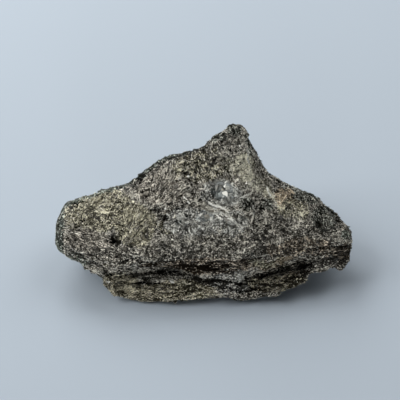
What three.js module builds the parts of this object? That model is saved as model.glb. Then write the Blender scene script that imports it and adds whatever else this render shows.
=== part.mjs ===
// Nuummite: a rough hand specimen of foliated amphibole rock, as broken from the outcrop.
//
// One natural solid, in millimetres, +Z up. +X runs along its length and +Y to its back. The
// broad upper face slopes down to the front, from a crooked ridge with one peak to a lip. Under
// the lip the layers of the rock show edge-on: a recess, then a ledge that stands forward. The
// rock lies on a flat patch of its underside, and both ends are clear of the ground.
//
// The surface is lofted through cross-sections. Each section is a closed ring of key points,
// and each key point runs from end to end of the rock as one smooth rail.

import * as THREE from 'three';

// Driving dimensions of the whole rock.
const LENGTH = 102;
const DEPTH = 50;
const HEIGHT = 45;

// Greatest distance between two rings of the loft.
const RING_PITCH = 2.1;

// How far the outline of a section rounds its corners: 0 is a polygon, 0.5 a smooth curve.
const ROUNDING = 0.3;

// Finish of the fresh broken surface.
const STONE = { color: 0x65635a, roughness: 0.78, metalness: 0.0 };

// The key points of a section, in order from the toe, up the front, over the top and down the
// back, each with the number of edges that the outline takes to the next one.
const KEYS = [
  ['toe', 3],
  ['ledge', 4],
  ['recess', 4],
  ['lip', 8],
  ['face', 8],
  ['ridge', 9],
  ['back', 8],
  ['heel', 8],
];

// Each section gives its place along the rock, then its key points as [y, z]. Places are in
// percent of the length from the middle, y is in percent of the depth from the front, and z
// is in percent of the height.
const SECTIONS = [
  [-49.9, [35, 30], [34, 32], [34, 34], [35, 37], [38, 40], [43, 40], [47, 36], [43, 30]],
  [-48.4, [30, 27], [27, 31], [27, 35], [29, 40], [37, 43], [49, 44], [60, 36], [50, 22]],
  [-46.8, [28, 25], [25, 30], [23, 34], [26, 40], [37, 46], [52, 48], [66, 37], [54, 16]],
  [-44.6, [25, 22], [22, 28], [20, 33], [23, 40], [38, 48], [54, 50], [69, 34], [56, 13]],
  [-38.4, [20, 17], [17, 23], [16, 28], [18, 37], [36, 49], [57, 53], [77, 31], [66, 8]],
  [-33.2, [16, 12], [12, 16], [15, 21], [15, 36], [36, 50], [60, 56], [80, 33], [72, 3]],
  [-31.2, [12, 6], [4, 9], [13, 15], [13, 36], [36, 51], [61, 57], [82, 33], [74, 2]],
  [-26.5, [10, 0], [2, 5], [14, 13], [13, 35], [36, 52], [62, 60], [86, 30], [77, 0]],
  [-20.0, [8, 0], [0, 4], [17, 12], [12, 35], [38, 55], [68, 69], [88, 39], [81, 0]],
  [-12.4, [8, 0], [0, 5], [18, 14], [12, 34], [41, 59], [73, 78], [95, 37], [84, 0]],
  [-1.0, [9, 0], [0, 6], [14, 21], [13, 34], [44, 61], [77, 85], [97, 48], [86, 0]],
  [6.0, [10, 0], [1, 7], [12, 22], [14, 35], [47, 64], [81, 95], [99, 44], [87, 0]],
  [9.9, [10, 0], [0, 7], [12, 21], [14, 35], [48, 66], [84, 100], [100, 48], [86, 0]],
  [13.9, [11, 0], [0, 5], [15, 16], [14, 35], [47, 64], [83, 95], [99, 46], [84, 0]],
  [17.3, [12, 1], [2, 6], [19, 13], [15, 35], [45, 60], [76, 83], [95, 42], [81, 0]],
  [21.2, [13, 3], [3, 9], [20, 13], [17, 35], [42, 54], [68, 69], [90, 38], [78, 0]],
  [28.4, [15, 6], [5, 13], [22, 16], [19, 36], [40, 50], [63, 59], [87, 32], [74, 2]],
  [33.6, [17, 9], [8, 16], [23, 19], [21, 37], [39, 48], [60, 54], [80, 34], [70, 6]],
  [36.2, [20, 13], [15, 17], [23, 22], [22, 37], [39, 46], [59, 52], [77, 34], [67, 9]],
  [40.5, [21, 15], [16, 18], [22, 24], [24, 37], [39, 42], [55, 46], [72, 30], [62, 13]],
  [45.5, [22, 17], [20, 21], [22, 27], [27, 35], [38, 37], [48, 38], [63, 29], [56, 18]],
  [48.6, [24, 20], [23, 23], [25, 27], [30, 33], [37, 33], [43, 33], [53, 28], [49, 21]],
  [49.9, [31, 26], [30, 27], [31, 29], [33, 31], [36, 31], [39, 31], [43, 29], [41, 27]],
];

/** The smooth rail that carries one key point through every section, in millimetres. */
function rail(keyIndex) {
  const points = SECTIONS.map(([place, ...keys]) => {
    const [across, up] = keys[keyIndex];
    const percent = new THREE.Vector3(place, across, up);
    return percent.multiply(new THREE.Vector3(LENGTH, DEPTH, HEIGHT)).divideScalar(100);
  });
  return new THREE.CatmullRomCurve3(points, false, 'centripetal');
}

/** Where the rings lie on the rails: on every section, and evenly between two of them. */
function ringSteps() {
  const spans = SECTIONS.length - 1;
  const steps = [0];
  for (let span = 0; span < spans; span += 1) {
    const length = (LENGTH * (SECTIONS[span + 1][0] - SECTIONS[span][0])) / 100;
    const parts = Math.ceil(length / RING_PITCH);
    for (let part = 1; part <= parts; part += 1) {
      steps.push((span + part / parts) / spans);
    }
  }
  return steps;
}

/** One closed ring through the rails' points. What would bulge below the ground is pressed
 *  flat, which leaves the patch that the rock lies on. */
function ringAt(keyPoints) {
  const outline = new THREE.CatmullRomCurve3(keyPoints, true, 'catmullrom', ROUNDING);
  return KEYS.flatMap(([, edges], key) =>
    Array.from({ length: edges }, (_, edge) => {
      const corner = outline.getPoint((key + edge / edges) / KEYS.length);
      return corner.setZ(Math.max(corner.z, 0));
    }),
  );
}

/** Middle of a ring, which closes an end of the rock. */
function middle(ring) {
  const sum = ring.reduce((total, corner) => total.add(corner), new THREE.Vector3());
  return sum.divideScalar(ring.length);
}

/** Skins the rings with triangles and closes both ends with a fan. */
function skin(rings) {
  const around = rings[0].length;
  const corners = rings.flat();
  const leftEnd = corners.push(middle(rings[0])) - 1;
  const rightEnd = corners.push(middle(rings[rings.length - 1])) - 1;
  const lastRing = (rings.length - 1) * around;
  const triangles = [];
  for (let side = 0; side < around; side += 1) {
    const next = (side + 1) % around;
    for (let start = 0; start < lastRing; start += around) {
      const [a, b] = [start + side, start + next];
      const [c, d] = [a + around, b + around];
      triangles.push(a, c, b, b, c, d);
    }
    triangles.push(leftEnd, side, next);
    triangles.push(rightEnd, lastRing + next, lastRing + side);
  }
  const geometry = new THREE.BufferGeometry().setFromPoints(corners);
  geometry.setIndex(triangles);
  return geometry;
}

/** Scales the loft to the driving dimensions and centres it over its foot, on z = 0. */
function fitToSize(geometry) {
  geometry.computeBoundingBox();
  const size = geometry.boundingBox.getSize(new THREE.Vector3());
  geometry.scale(LENGTH / size.x, DEPTH / size.y, HEIGHT / size.z);
  geometry.computeBoundingBox();
  const { min, max } = geometry.boundingBox;
  geometry.translate(-(min.x + max.x) / 2, -(min.y + max.y) / 2, -min.z);
  geometry.computeVertexNormals();
  return geometry;
}

const rails = KEYS.map((_, keyIndex) => rail(keyIndex));
const rings = ringSteps().map((step) => ringAt(rails.map((curve) => curve.getPoint(step))));

const rock = new THREE.Mesh(fitToSize(skin(rings)), new THREE.MeshStandardMaterial(STONE));
rock.name = 'nuummite';

const specimen = new THREE.Group();
specimen.add(rock);

export default specimen;
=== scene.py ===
"""Nuummite specimen: a rough piece of foliated amphibole rock on a plain pale floor.

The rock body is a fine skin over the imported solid, lofted through the same cross-sections and
then broken up by layers, facets, cracks and pits. On it lie more than a hundred thousand small
amphibole needles, joined into a few meshes. All lengths in the tables are millimetres unless they
say otherwise, and every mesh is in metres.

Random fields are asked for as noise(points / size, seed): the size is about how wide the field's
features are, and each field has its own seed, so that no two of them look alike.
"""

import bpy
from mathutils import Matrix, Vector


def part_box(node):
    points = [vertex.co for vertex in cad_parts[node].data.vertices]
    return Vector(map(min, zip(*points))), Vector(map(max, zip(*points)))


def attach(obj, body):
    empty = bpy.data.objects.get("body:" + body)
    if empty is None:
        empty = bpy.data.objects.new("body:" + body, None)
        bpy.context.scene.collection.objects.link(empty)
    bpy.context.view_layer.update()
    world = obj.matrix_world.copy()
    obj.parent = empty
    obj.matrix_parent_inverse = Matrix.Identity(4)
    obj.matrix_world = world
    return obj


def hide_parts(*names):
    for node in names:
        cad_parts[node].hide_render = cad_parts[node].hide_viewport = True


bl_info = {
    "name": "Nuummite specimen",
    "version": (1, 0, 0),
    "blender": (4, 5, 0),
    "location": "3D View > Sidebar > Nuummite",
    "description": "Builds a rough nuummite specimen with its needle crystals and a plain stage",
    "category": "Object",
}

import math
from dataclasses import dataclass, replace

import bpy
import numpy as np
from bpy.props import FloatProperty, FloatVectorProperty, IntProperty, PointerProperty
from mathutils import Vector

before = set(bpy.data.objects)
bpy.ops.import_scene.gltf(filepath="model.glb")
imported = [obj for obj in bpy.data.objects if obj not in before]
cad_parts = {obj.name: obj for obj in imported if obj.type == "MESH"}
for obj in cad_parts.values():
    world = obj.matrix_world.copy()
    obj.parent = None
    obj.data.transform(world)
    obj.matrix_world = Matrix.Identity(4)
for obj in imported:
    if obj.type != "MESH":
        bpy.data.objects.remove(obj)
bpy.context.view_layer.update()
ROCK_LOW, ROCK_HIGH = (np.array(corner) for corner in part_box("nuummite"))
MM = 0.001

# ---------------------------------------------------------------------------------------------
# The shape of the rock
# ---------------------------------------------------------------------------------------------

# Edges that a section's outline takes from each key point to the next: toe, ledge, recess, lip,
# face, ridge, back, heel.
EDGES = (14, 34, 42, 62, 62, 44, 34, 48)
# Distance between rings, and how strongly an outline bends at its key points.
RING_PITCH = 0.43
ROUNDING = 0.3
# Where each stretch of the skin starts and ends, in grid columns round a ring.
FRONT = (0, sum(EDGES[:3]))
UPPER = (FRONT[1], sum(EDGES[:5]))
BACK = (UPPER[1], sum(EDGES[:7]))
UNDER = (BACK[1], sum(EDGES))
FRONT_AND_UPPER = (FRONT[0], UPPER[1])

# Place along the rock in percent of its length from the middle, then the key points as depth
# from the front and height, in percent of the rock's own.
SECTIONS = (
    (-50.0, (39, 34), (39, 34), (39, 34), (39, 34), (39, 34), (39, 34), (39, 34), (39, 34)),
    (-49.9, (35, 30), (34, 32), (34, 34), (35, 37), (38, 40), (43, 40), (47, 36), (43, 30)),
    (-48.4, (30, 27), (27, 31), (27, 35), (29, 40), (37, 43), (49, 44), (60, 36), (50, 22)),
    (-46.8, (28, 25), (25, 30), (23, 34), (26, 40), (37, 46), (52, 48), (66, 37), (54, 16)),
    (-44.6, (25, 22), (22, 28), (20, 33), (23, 40), (38, 48), (54, 50), (69, 34), (56, 13)),
    (-38.4, (20, 17), (17, 23), (16, 28), (18, 37), (36, 49), (57, 53), (77, 31), (66, 8)),
    (-33.2, (16, 12), (12, 16), (15, 21), (15, 36), (36, 50), (60, 56), (80, 33), (72, 3)),
    (-31.2, (12, 6), (4, 9), (13, 15), (13, 36), (36, 51), (61, 57), (82, 33), (74, 2)),
    (-26.5, (10, 0), (2, 5), (14, 13), (13, 35), (36, 52), (62, 60), (86, 30), (77, 0)),
    (-20.0, (8, 0), (0, 4), (17, 12), (12, 35), (38, 55), (68, 69), (88, 39), (81, 0)),
    (-12.4, (8, 0), (0, 5), (18, 14), (12, 34), (41, 59), (73, 78), (95, 37), (84, 0)),
    (-1.0, (9, 0), (0, 6), (14, 21), (13, 34), (44, 61), (77, 85), (97, 48), (86, 0)),
    (6.0, (10, 0), (1, 7), (12, 22), (14, 35), (47, 64), (81, 95), (99, 44), (87, 0)),
    (9.9, (10, 0), (0, 7), (12, 21), (14, 35), (48, 66), (84, 100), (100, 48), (86, 0)),
    (13.9, (11, 0), (0, 5), (15, 16), (14, 35), (47, 64), (83, 95), (99, 46), (84, 0)),
    (17.3, (12, 1), (2, 6), (19, 13), (15, 35), (45, 60), (76, 83), (95, 42), (81, 0)),
    (21.2, (13, 3), (3, 9), (20, 13), (17, 35), (42, 54), (68, 69), (90, 38), (78, 0)),
    (28.4, (15, 6), (5, 13), (22, 16), (19, 36), (40, 50), (63, 59), (87, 32), (74, 2)),
    (33.6, (17, 9), (8, 16), (23, 19), (21, 37), (39, 48), (60, 54), (80, 34), (70, 6)),
    (36.2, (20, 13), (15, 17), (23, 22), (22, 37), (39, 46), (59, 52), (77, 34), (67, 9)),
    (40.5, (21, 15), (16, 18), (22, 24), (24, 37), (39, 42), (55, 46), (72, 30), (62, 13)),
    (45.5, (22, 17), (20, 21), (22, 27), (27, 35), (38, 37), (48, 38), (63, 29), (56, 18)),
    (48.6, (24, 20), (23, 23), (25, 27), (30, 33), (37, 33), (43, 33), (53, 28), (49, 21)),
    (49.9, (31, 26), (30, 27), (31, 29), (33, 31), (36, 31), (39, 31), (43, 29), (41, 27)),
    (50.0, (36, 29), (36, 29), (36, 29), (36, 29), (36, 29), (36, 29), (36, 29), (36, 29)),
)

# Direction across the layers of the rock. They dip to the front and rise a little to the right.
LAYER_NORMAL = np.array((-0.10, -0.50, 0.86)) / np.linalg.norm((-0.10, -0.50, 0.86))

# Facets of broken stone: height, size, seed and tilt.
BROAD_FACETS = (0.6, 9.0, 71, 0.9)
FINE_FACETS = ((0.40, 3.4, 72, 1.0), (0.30, 1.6, 73, 1.2))
GRIT_HEIGHT, GRIT_SIZE = 0.16, 0.9

# Layers whose broken edges stand forward or back: height, thickness, length and seed.
LAYERS = ((2.2, 2.6, 13.0, 41), (1.5, 1.3, 8.0, 42), (0.7, 0.6, 4.0, 43))
# The part of their strength that they have where they don't face forward.
LAYERS_BEHIND = 0.25
# Where the layers are seen flat, and where edge-on: the cosine between surface and layers.
FLAT_ON, EDGE_ON = 0.93, 0.72

# The waves that bend the layers, and those that bend the beds in front by grid columns: height,
# size and seed.
LAYER_WAVES = ((1.6, 16.0, 31), (0.3, 3.0, 33))
BED_WAVES = ((3.5, 7.0, 35), (1.2, 2.2, 37))

# Clefts along the beds in front: depth; size, seed and width of the noise whose zero they follow;
# size, seed and limits of the noise that leaves only stretches of them.
BED_CLEFTS = (
    (1.0, (14.0, 11.0, 1.0), 44, 0.20, (9.0, 9.0, 1.0), 46, (-0.3, 0.1)),
    (0.8, (6.0, 4.5, 1.0), 45, 0.24, (5.0, 7.0, 1.0), 48, (-0.1, 0.2)),
)
# The beds give way to the upper face between these grid columns.
BEDS_END = (FRONT[1] - 4.0, FRONT[1] + 12.0)

# Thin plates on the upper face: size, height of a step, and steps to the noise's height of one.
PLATE_SIZE, PLATE_STEP, PLATE_STEPS = 10.0, 0.38, 3.2

# How much the layers and the stone are sunk, so that their highest points stay near the solid.
LAYER_SINK, STONE_SINK = 0.3, 0.3
CLEFT_DEPTH = 1.0
# The relief is weaker at the left tip: how far left it starts to fade, where it is least, and
# the share that it loses.
TIP_START, TIP_END, TIP_LOSS = 43.5, 47.0, 0.65

# The rind's chance on the back, and its chance at the tip and the crest. The tip is where the rock
# is this far left. The crest starts between the first two columns and ends after the third, and
# it fades out between two places along the rock.
BACK_RIND, RIM_RIND = 0.85, 0.92
TIP = (47.3, 48.6)
CREST_COLUMNS = (BACK[0] - 11.0, BACK[0] - 6.0, BACK[0] + 30)
CREST_END = (-8.0, -2.0)

# How far a needle on a bulge may rise above it, and the least curvature that is counted on.
NEEDLE_RISE = 0.06
LEAST_CURVATURE = 0.02

# Cracks along the front, each a path of (along, up) points, with its depth and half width.
CRACKS = (
    (((-28.0, 15.0), (-22.9, 15.8), (-18.4, 14.0), (-13.5, 15.0), (-8.0, 15.4)), 1.3, 0.5),
    (((-14.4, 13.1), (-9.0, 11.9), (-1.4, 10.4), (4.6, 10.6), (9.4, 11.6), (13.0, 13.5)), 1.6, 0.5),
    (((-5.1, 7.4), (-2.2, 7.6), (4.6, 7.3), (9.8, 7.0), (13.8, 5.4)), 1.1, 0.4),
    (((14.5, 5.4), (19.8, 5.2), (23.1, 6.0), (27.7, 6.9), (32.6, 8.0), (36.5, 7.4)), 0.7, 0.5),
    (((17.4, 9.6), (19.8, 9.9), (26.0, 9.6), (29.8, 10.6)), 0.7, 0.4),
    (((37.0, 14.6), (40.9, 15.6), (44.7, 15.2), (49.5, 14.3)), 1.3, 0.5),
    (((-41.0, 11.9), (-37.1, 13.0), (-33.5, 11.2)), 0.8, 0.4),
)

# Pits on the upper face: middle, radius and depth.
PITS = (
    ((-31.2, -12.6, 19.3), 1.8, 2.4),
    ((-28.8, -13.2, 18.9), 1.1, 1.4),
    ((-13.1, -7.1, 24.0), 1.2, 1.5),
    ((-14.4, -8.6, 22.9), 0.8, 1.0),
    ((-22.1, 7.2, 30.0), 1.5, 1.2),
    ((-31.9, -7.2, 22.3), 0.7, 0.8),
    ((14.5, -3.4, 26.6), 2.4, 0.5),
    ((21.2, -1.7, 25.3), 1.3, 0.5),
    ((-6.6, 5.6, 33.2), 1.0, 1.0),
    ((3.4, 8.5, 37.0), 0.9, 0.9),
    ((39.6, -5.0, 19.6), 1.8, 0.8),
)


@dataclass
class Skin:
    """A closed grid of points on the rock with what the needles on it need to know."""

    points: np.ndarray
    normals: np.ndarray
    broad_normals: np.ndarray
    area: np.ndarray
    height: np.ndarray
    bare: np.ndarray
    weathered: np.ndarray
    strata: np.ndarray
    longest: np.ndarray


def smooth_step(value, low, high):
    """0 up to low and 1 from high on, joined by the cubic 3t^2 - 2t^3."""
    t = np.clip((value - low) / (high - low), 0.0, 1.0)
    return t * t * (3.0 - 2.0 * t)


def bell(distance, width, sharpness=2):
    """A bell curve, exp(-(distance / width)^sharpness): 1 in its middle, and the sharper it is,
    the flatter its top and the steeper its sides."""
    return np.exp(-((distance / width) ** sharpness))


def unit(vectors):
    """The vectors scaled to length one."""
    return vectors / np.maximum(np.linalg.norm(vectors, axis=-1, keepdims=True), 1e-12)


def rail_points(keys, pitch):
    """Rows of key points carried along the rock.

    Each key point follows a centripetal Catmull-Rom curve through its places in all sections: a
    Hermite cubic whose end slopes are weighted by the square roots of the neighbouring chords.
    Each span between two sections gets as many steps as its mean length holds pitches.
    """
    padded = np.concatenate([2 * keys[:1] - keys[1:2], keys, 2 * keys[-1:] - keys[-2:-1]])
    chords = np.linalg.norm(np.diff(padded, axis=0), axis=-1, keepdims=True)
    knots = np.sqrt(np.maximum(chords, 1e-3))
    rows = [keys[:1]]
    for span in range(len(keys) - 1):
        before, start, end, after = padded[span : span + 4]
        d0, d1, d2 = knots[span : span + 3]
        out = ((start - before) / d0 - (end - before) / (d0 + d1) + (end - start) / d1) * d1
        into = ((end - start) / d1 - (after - start) / (d1 + d2) + (after - end) / d2) * d1
        steps = max(2, round(float(chords[span + 1].mean()) / pitch))
        t = (np.arange(1, steps + 1) / steps)[:, None, None]
        rows.append(hermite(start, end, out, into, t))
    return np.concatenate(rows)


def hermite(start, end, out, into, t):
    """The cubic from start to end that leaves with slope out and arrives with slope into."""
    return (
        start * (2 * t**3 - 3 * t**2 + 1)
        + out * (t**3 - 2 * t**2 + t)
        + end * (3 * t**2 - 2 * t**3)
        + into * (t**3 - t**2)
    )


def outline_points(rows, edges):
    """Closes each row of key points into a ring.

    The ring is a Hermite cubic from key to key. Its slope at a key is the rounding times the
    chord between the two keys beside it, so a small rounding leaves nearly straight sides.
    """
    slopes = ROUNDING * (np.roll(rows, -1, axis=1) - np.roll(rows, 1, axis=1))
    sides = []
    for key, steps in enumerate(edges):
        after = (key + 1) % len(edges)
        t = (np.arange(steps) / steps)[None, :, None]
        start, end = rows[:, key, None], rows[:, after, None]
        sides.append(hermite(start, end, slopes[:, key, None], slopes[:, after, None], t))
    return np.concatenate(sides, axis=1)


def base_surface():
    """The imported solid's surface on a fine grid, one row a ring, in millimetres.

    Rings are pressed flat where they would pass below the ground, and the whole is scaled to
    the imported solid's own box.
    """
    size = (ROCK_HIGH - ROCK_LOW) / MM
    keys = np.array([[(place, y, z) for y, z in points] for place, *points in SECTIONS])
    keys = keys * size / 100.0
    grid = outline_points(rail_points(keys, RING_PITCH), EDGES)
    grid[..., 2] = np.maximum(grid[..., 2], 0.0)
    low, high = grid.min(axis=(0, 1)), grid.max(axis=(0, 1))
    return ROCK_LOW / MM + (grid - low) * size / (high - low)


def grid_normals(grid):
    """Outward unit normals of a closed grid and the area that each grid point stands for."""
    along = np.gradient(grid, axis=0)
    round_ring = (np.roll(grid, -1, axis=1) - np.roll(grid, 1, axis=1)) / 2.0
    cross = np.cross(along, round_ring)
    return unit(cross), np.linalg.norm(cross, axis=-1)


def longest_needle(grid, normals):
    """The longest that a needle may be on each grid point, in millimetres.

    A needle that lies on a bulge of curvature k with both ends in the air rises above it by
    length^2 k / 8, which is kept to the allowed rise. The curvature is the turn of the normal
    against the step between neighbours, in the direction where it is larger.
    """
    bulge = np.full(grid.shape[:2], LEAST_CURVATURE)
    for axis in (0, 1):
        turn = np.roll(normals, -2, axis=axis) - np.roll(normals, 2, axis=axis)
        step = np.roll(grid, -2, axis=axis) - np.roll(grid, 2, axis=axis)
        curvature = (turn * step).sum(axis=-1) / np.maximum((step**2).sum(axis=-1), 1e-3)
        bulge = np.maximum(bulge, curvature)
    return np.sqrt(8.0 * NEEDLE_RISE / bulge)


# ---------------------------------------------------------------------------------------------
# Random relief, worked out for whole arrays of points
# ---------------------------------------------------------------------------------------------


def lattice_value(cell, seed):
    """A random number from -1 to 1 for each whole-number cell: its three numbers and the seed
    are multiplied by large odd numbers, and their bits are mixed."""
    bits = cell.astype(np.int64).astype(np.uint32)
    mixed = bits[..., 0] * np.uint32(73856093)
    mixed ^= bits[..., 1] * np.uint32(19349663)
    mixed ^= bits[..., 2] * np.uint32(83492791)
    mixed ^= np.uint32((seed * 2654435761) % 2**32)
    mixed = (mixed ^ (mixed >> np.uint32(15))) * np.uint32(2246822519)
    mixed = (mixed ^ (mixed >> np.uint32(13))) * np.uint32(3266489917)
    mixed ^= mixed >> np.uint32(16)
    return mixed.astype(np.float64) / 2147483647.5 - 1.0


def noise(points, seed):
    """Smooth random height from about -1 to 1: the values of the eight corners of each unit
    cell, blended along each axis by the quintic 6t^5 - 15t^4 + 10t^3."""
    cell = np.floor(points)
    t = points - cell
    t = t * t * t * (t * (t * 6.0 - 15.0) + 10.0)
    total = np.zeros(points.shape[:-1])
    for corner in np.ndindex(2, 2, 2):
        share = np.prod(np.where(corner, t, 1.0 - t), axis=-1)
        total += share * lattice_value(cell + corner, seed)
    return total


def fractal(points, seed, octaves):
    """Noise summed over octaves, each at twice the fineness and half the height."""
    heights = sum(noise(points * 2**k, seed + k) / 2**k for k in range(octaves))
    return heights / (2.0 - 2.0 ** (1 - octaves))


def nearest_centre(points, seed):
    """Shares space among random centres, one in each unit cell. For each point it gives the
    cell of the nearest centre and the way from that centre to the point."""
    home = np.floor(points)
    best = np.full(points.shape[:-1], np.inf)
    owner = np.zeros_like(points)
    way = np.zeros_like(points)
    for step in np.ndindex(3, 3, 3):
        cell = home + (np.array(step) - 1)
        shifts = [lattice_value(cell, seed + axis) * 0.45 + 0.5 for axis in range(3)]
        delta = points - (cell + np.stack(shifts, axis=-1))
        distance = (delta**2).sum(axis=-1)
        closer = distance < best
        best = np.where(closer, distance, best)
        owner = np.where(closer[..., None], cell, owner)
        way = np.where(closer[..., None], delta, way)
    return owner, way


def facets(points, seed, tilt):
    """Relief of broken stone, from about -1 to 1: each centre's share of space gets its own
    height and its own slope, so it is a flat facet with a step to the next one."""
    owner, way = nearest_centre(points, seed)
    slope = np.stack([lattice_value(owner, seed + 10 + axis) for axis in range(3)], axis=-1)
    return 0.5 * lattice_value(owner, seed + 20) + tilt * (slope * way).sum(axis=-1)


def path_distance(points, path):
    """Distance of 2-D points from a path of straight stretches."""
    nearest = np.full(points.shape[:-1], np.inf)
    for start, end in zip(np.array(path[:-1]), np.array(path[1:])):
        run = end - start
        t = np.clip(((points - start) * run).sum(axis=-1) / (run**2).sum(), 0.0, 1.0)
        gap = np.linalg.norm(points - start - t[..., None] * run, axis=-1)
        nearest = np.minimum(nearest, gap)
    return nearest


def layer_axes():
    """Two directions in the layers and the one across them, as the columns of a matrix."""
    first = unit(np.cross(LAYER_NORMAL, (0.0, 1.0, 0.0)))
    return np.stack([first, np.cross(LAYER_NORMAL, first), LAYER_NORMAL], axis=1)


def layer_steps(across, thickness, run, seed):
    """Height of a stack of layers, from about -1 to 1. Each layer keeps one height across its
    thickness, apart from a short slope to the next, and noise changes it along its run."""
    level = across[..., 2] / thickness
    whole = np.floor(level)
    mix = smooth_step(level - whole, 0.0, 0.3)
    here = noise(np.stack([*(across[..., :2].T / run), 1.7 * whole.T], axis=0).T, seed)
    before = noise(np.stack([*(across[..., :2].T / run), 1.7 * (whole.T - 1.0)], axis=0).T, seed)
    return before * (1.0 - mix) + here * mix


def edge_on_share(normals):
    """How much of the layers' broken edges a surface shows: 1 where it cuts across the layers
    and 0 where it lies along them."""
    return 1.0 - smooth_step(np.abs(normals @ LAYER_NORMAL), EDGE_ON, FLAT_ON)


def bend(points, waves):
    """How far waves of fractal noise move each point: the sum of each height times its noise."""
    return sum(height * fractal(points / size, seed, 2) for height, size, seed in waves)


def layer_places(points):
    """Places in the stack of layers: two along them and one across, which waves bend."""
    places = points @ layer_axes()
    places[..., 2] += bend(points, LAYER_WAVES)
    return places


def layer_relief(points, edge_on):
    """Height of the layers' broken edges, in millimetres. Layers of three thicknesses stand
    forward or back, and they fade out where the layers are seen flat."""
    places = layer_places(points)
    layers = sum(height * layer_steps(places, *layer) for height, *layer in LAYERS)
    return edge_on * (layers - LAYER_SINK)


def strata_places(points, column):
    """Places in the beds that follow the rock's front from end to end: the place along it, and
    how many grid columns up it is, which waves bend."""
    up = column + bend(points, BED_WAVES)
    return np.stack([points[..., 0], up, np.zeros(points.shape[:-1])], axis=-1)


def clefts(points, strata, in_front):
    """How deep each point lies in a cleft, from 0 to 1.

    A cleft is a band where noise passes through zero, as a bell curve across it, and broad noise
    leaves only stretches of it. In front the bands follow the beds. Elsewhere they curl, and one
    in four of the random shares of space has a hole in its middle.
    """
    along_beds = np.zeros(points.shape[:-1])
    for depth, size, seed, width, stretch, stretch_seed, limits in BED_CLEFTS:
        band = bell(noise(strata / size, seed), width)
        band *= smooth_step(noise(strata / stretch, stretch_seed), *limits)
        along_beds = np.maximum(along_beds, depth * band)
    curl = bell(fractal(points / 3.0, 47, 2), 0.09)
    curl *= smooth_step(noise(points / 4.0, 49), 0.12, 0.4)
    owner, way = nearest_centre(points / 2.4, 54)
    hole = bell(np.linalg.norm(way, axis=-1), 0.26, 4) * (lattice_value(owner, 57) > 0.5)
    return in_front * along_beds + (1.0 - in_front) * np.maximum(curl, hole)


def weathered_share(points, normals, column):
    """The chance of a weathered rind: it rises and falls with broad noise on surfaces that face
    back, and is high at the left tip and along the crest to the left of the peak."""
    patches = 0.55 + 0.45 * smooth_step(fractal(points / 9.0, 88, 2), -0.1, 0.25)
    back = smooth_step(normals[..., 1], 0.15, 0.5) * patches
    first, whole, last = CREST_COLUMNS
    crest = smooth_step(column, first, whole) * (column <= last)
    crest = crest * (1.0 - smooth_step(points[..., 0], *CREST_END))
    tip = smooth_step(-points[..., 0], *TIP)
    return np.maximum(BACK_RIND * back, RIM_RIND * np.maximum(crest, tip))


def plate_relief(points, flat_on):
    """Height of the thin plates that the upper face has split into, in millimetres: noise
    rounded to steps, with a short slope between them."""
    level = PLATE_STEPS * fractal(points / PLATE_SIZE, 51, 3)
    whole = np.floor(level)
    return flat_on * PLATE_STEP * (whole + smooth_step(level - whole, 0.38, 0.62))


def crack_relief(points, normals):
    """Depth of the long open cracks in the front, as a bell curve across each path."""
    wander = np.stack([fractal(points / 3.0, 61, 2), fractal(points / 3.0, 62, 2)], axis=-1)
    front = points[..., (0, 2)] + 0.5 * wander
    facing = smooth_step(-normals[..., 1], 0.0, 0.35) * (points[..., 1] < 0.0)
    total = np.zeros(points.shape[:-1])
    for path, depth, half_width in CRACKS:
        gap = path_distance(front, path)
        total -= depth * bell(gap, half_width)
    return total * facing


def pit_relief(points):
    """Depth of the pits in the upper face, as a bell curve around each."""
    total = np.zeros(points.shape[:-1])
    for middle, radius, depth in PITS:
        total -= depth * bell(np.linalg.norm(points - middle, axis=-1), radius, 4)
    return total


def stone_relief(points, normals):
    """Height of the broken stone, in millimetres: facets at two sizes, fine grit, the layers,
    which are weaker where they don't face forward, and the plates."""
    edge_on = edge_on_share(normals)
    front = smooth_step(-normals[..., 1], 0.1, 0.5)
    total = sum(rise * facets(points / size, *facet) for rise, size, *facet in FINE_FACETS)
    total += GRIT_HEIGHT * fractal(points / GRIT_SIZE, 74, 2)
    strength = LAYERS_BEHIND + (1.0 - LAYERS_BEHIND) * front
    total += strength * layer_relief(points, edge_on)
    return total + (plate_relief(points, 1.0 - edge_on) - STONE_SINK)


def foot_share(points, normals):
    """1 on the flat foot, near the ground where the surface faces down, and 0 elsewhere."""
    return smooth_step(-normals[..., 2], 0.75, 0.95) * (1.0 - smooth_step(points[..., 2], 0.0, 1.5))


def rock_surface(coarseness):
    """The finished skin of the rock on its grid, in millimetres, as a Skin.

    The base surface moves along its normals by the sum of the broken stone, clefts, cracks, pits
    and broad facets, less so at the left tip. The foot stays flat, and nothing passes below the
    ground.
    """
    base = base_surface()
    broad, _ = grid_normals(base)
    column = np.broadcast_to(np.arange(base.shape[1]), base.shape[:2])
    strata = strata_places(base, column)
    in_front = 1.0 - smooth_step(column, *BEDS_END)
    gaps = clefts(base, strata, in_front)
    hollows = crack_relief(base, broad) + pit_relief(base)
    fine = coarseness * (stone_relief(base, broad) - CLEFT_DEPTH * gaps) + hollows
    height, size, *facet = BROAD_FACETS
    relief = fine + coarseness * height * facets(base / size, *facet)
    relief *= 1.0 - TIP_LOSS * smooth_step(-base[..., 0], TIP_START, TIP_END)
    relief *= 1.0 - foot_share(base, broad)
    points = base + broad * relief[..., None]
    points[..., 2] = np.maximum(points[..., 2], 0.0)
    normals, area = grid_normals(points)
    bare = np.maximum(0.85 * gaps, smooth_step(-hollows, 0.3, 0.9))
    weathered = weathered_share(base, broad, column)
    longest = longest_needle(base, broad)
    return Skin(points, unit(normals + broad), broad, area, fine, bare, weathered, strata, longest)


# ---------------------------------------------------------------------------------------------
# Meshes
# ---------------------------------------------------------------------------------------------


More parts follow.
